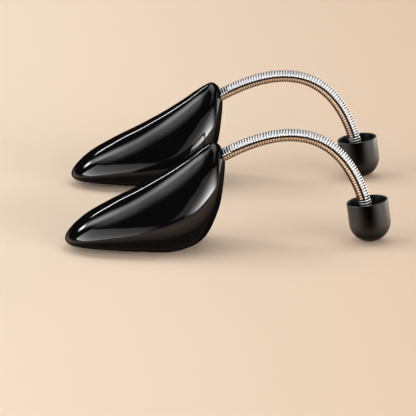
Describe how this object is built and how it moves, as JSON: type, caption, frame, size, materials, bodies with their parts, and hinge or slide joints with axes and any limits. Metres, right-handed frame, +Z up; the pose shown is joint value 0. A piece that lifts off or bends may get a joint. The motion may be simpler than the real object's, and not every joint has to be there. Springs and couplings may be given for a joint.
{
  "type": "pair of shoe trees",
  "caption": "Spring shoe trees: a moulded forefoot joined to a round heel cup by an arched coil spring, for keeping a shoe in shape.",
  "frame": {"origin": "middle of the pair's footprint, on the surface that the trees stand on", "axes": "+X from the tips of the toes to the heel cups, +Y from the left tree to the right tree, +Z up"},
  "size_m": [0.2325, 0.236, 0.084],
  "materials": {
    "toe_plastic": "polished moulded black polystyrene",
    "heel_plastic": "satin moulded black polypropylene",
    "spring_steel": "bright drawn spring wire"
  },
  "bodies": {
    "right_toe": {"right_toe_inner_half": "toe_plastic", "right_toe_outer_half": "toe_plastic"},
    "right_arch": {"right_spring": "spring_steel"},
    "right_heel": {"right_heel_cup": "heel_plastic"},
    "left_toe": {"left_toe_inner_half": "toe_plastic", "left_toe_outer_half": "toe_plastic"},
    "left_arch": {"left_spring": "spring_steel"},
    "left_heel": {"left_heel_cup": "heel_plastic"}
  },
  "joints": [
    {"name": "right_back_flex", "type": "hinge", "parent": "right_arch", "child": "right_heel", "pos_m": [0.08201, 0.086, 0.05229], "axis": [0, 1, 0], "range_deg": [-15, 25], "stiffness_Nm_per_rad": 0.3, "deforming": ["right_spring"]},
    {"name": "right_front_flex", "type": "hinge", "parent": "right_toe", "child": "right_arch", "pos_m": [0.02223, 0.086, 0.07479], "axis": [0, 1, 0], "range_deg": [-6.5, 4], "stiffness_Nm_per_rad": 0.6, "deforming": ["right_spring"]},
    {"name": "left_back_flex", "type": "hinge", "parent": "left_arch", "child": "left_heel", "pos_m": [0.08201, -0.086, 0.05229], "axis": [0, 1, 0], "range_deg": [-15, 25], "stiffness_Nm_per_rad": 0.3, "deforming": ["left_spring"]},
    {"name": "left_front_flex", "type": "hinge", "parent": "left_toe", "child": "left_arch", "pos_m": [0.02223, -0.086, 0.07479], "axis": [0, 1, 0], "range_deg": [-6.5, 4], "stiffness_Nm_per_rad": 0.6, "deforming": ["left_spring"]},
    {"name": "pair_spacing", "type": "slide", "parent": "right_toe", "child": "left_toe", "axis": [0, -1, 0], "range_m": [-0.07, 0.1]}
  ],
  "couplings": [
    {"joint": "right_front_flex", "follows": "right_back_flex", "ratio": -0.2436},
    {"joint": "left_front_flex", "follows": "left_back_flex", "ratio": -0.2436}
  ]
}
